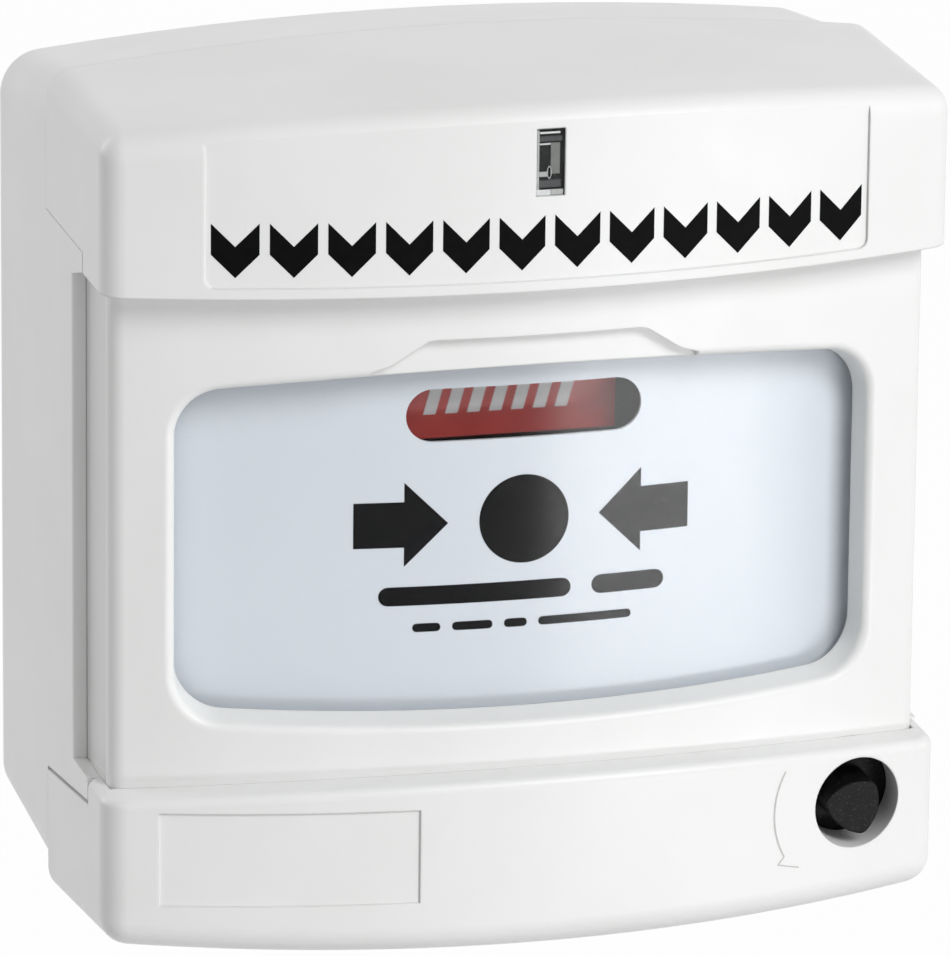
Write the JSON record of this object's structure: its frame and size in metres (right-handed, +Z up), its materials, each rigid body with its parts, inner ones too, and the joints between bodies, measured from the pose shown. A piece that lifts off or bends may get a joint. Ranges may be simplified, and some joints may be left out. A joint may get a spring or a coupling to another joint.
{
  "type": "emergency stop call point",
  "caption": "Square wall-mounted emergency stop call point with a bowed housing, a resettable push plate behind a window, an indicator flag and a key reset.",
  "frame": {"origin": "on the wall face of the back box, level with the middle of the push plate and on the middle of the width", "axes": "+X to the right seen from the front, +Y into the wall, +Z up"},
  "size_m": [0.088, 0.0556, 0.0925],
  "materials": {
    "white_shell": "fine satin moulding",
    "clear_pipe": "clear moulding",
    "clear_plate": "polished clear moulding",
    "legend_film": "smooth printed film",
    "red_flag": "satin",
    "black_plastic": "satin",
    "grey_plastic": "matte",
    "steel": "bright zinc plate",
    "red_plunger": "smooth",
    "board_green": "solder mask",
    "lamp_clear": "clear lens",
    "terminal_green": "matte"
  },
  "bodies": {
    "housing": {"back_box": "white_shell", "top_hood": "white_shell", "front_bezel": "white_shell", "lower_cap": "white_shell", "light_pipe": "clear_pipe", "chassis": "grey_plastic", "chassis_screws": "steel", "circuit_board": "board_green", "board_screws": "steel", "led_lamp": "lamp_clear", "terminal_block": "terminal_green", "terminal_screws": "steel", "switch_bodies": "black_plastic", "plate_springs": "steel", "flag_spring": "steel"},
    "plate": {"push_plate": "clear_plate", "legend_film": "legend_film", "plate_carrier": "grey_plastic"},
    "plunger": {"switch_plungers": "red_plunger"},
    "key": {"key_post": "black_plastic", "key_barrel": "black_plastic", "key_cam": "black_plastic", "cam_clip": "steel"},
    "flag": {"flag_slide": "grey_plastic", "indicator_flag": "red_flag"}
  },
  "joints": [
    {"name": "plate_press", "type": "slide", "parent": "housing", "child": "plate", "axis": [0, 1, 0], "range_m": [0, 0.0025], "stiffness_N_per_m": 2500, "springref_m": -0.001, "deforming": ["plate_springs"]},
    {"name": "plunger_press", "type": "slide", "parent": "housing", "child": "plunger", "axis": [0, 1, 0], "range_m": [0, 0.0025]},
    {"name": "key_turn", "type": "hinge", "parent": "housing", "child": "key", "pos_m": [0.0347, -0.045, -0.03175], "axis": [0, 1, 0], "range_deg": [0, 90]},
    {"name": "flag_lift", "type": "slide", "parent": "housing", "child": "flag", "axis": [0, 0, 1], "range_m": [0, 0.007], "deforming": ["flag_spring"]}
  ],
  "couplings": [
    {"joint": "plunger_press", "follows": "plate_press", "ratio": 1},
    {"joint": "key_turn", "follows": "flag_lift", "rad_per_m": 224.4}
  ]
}
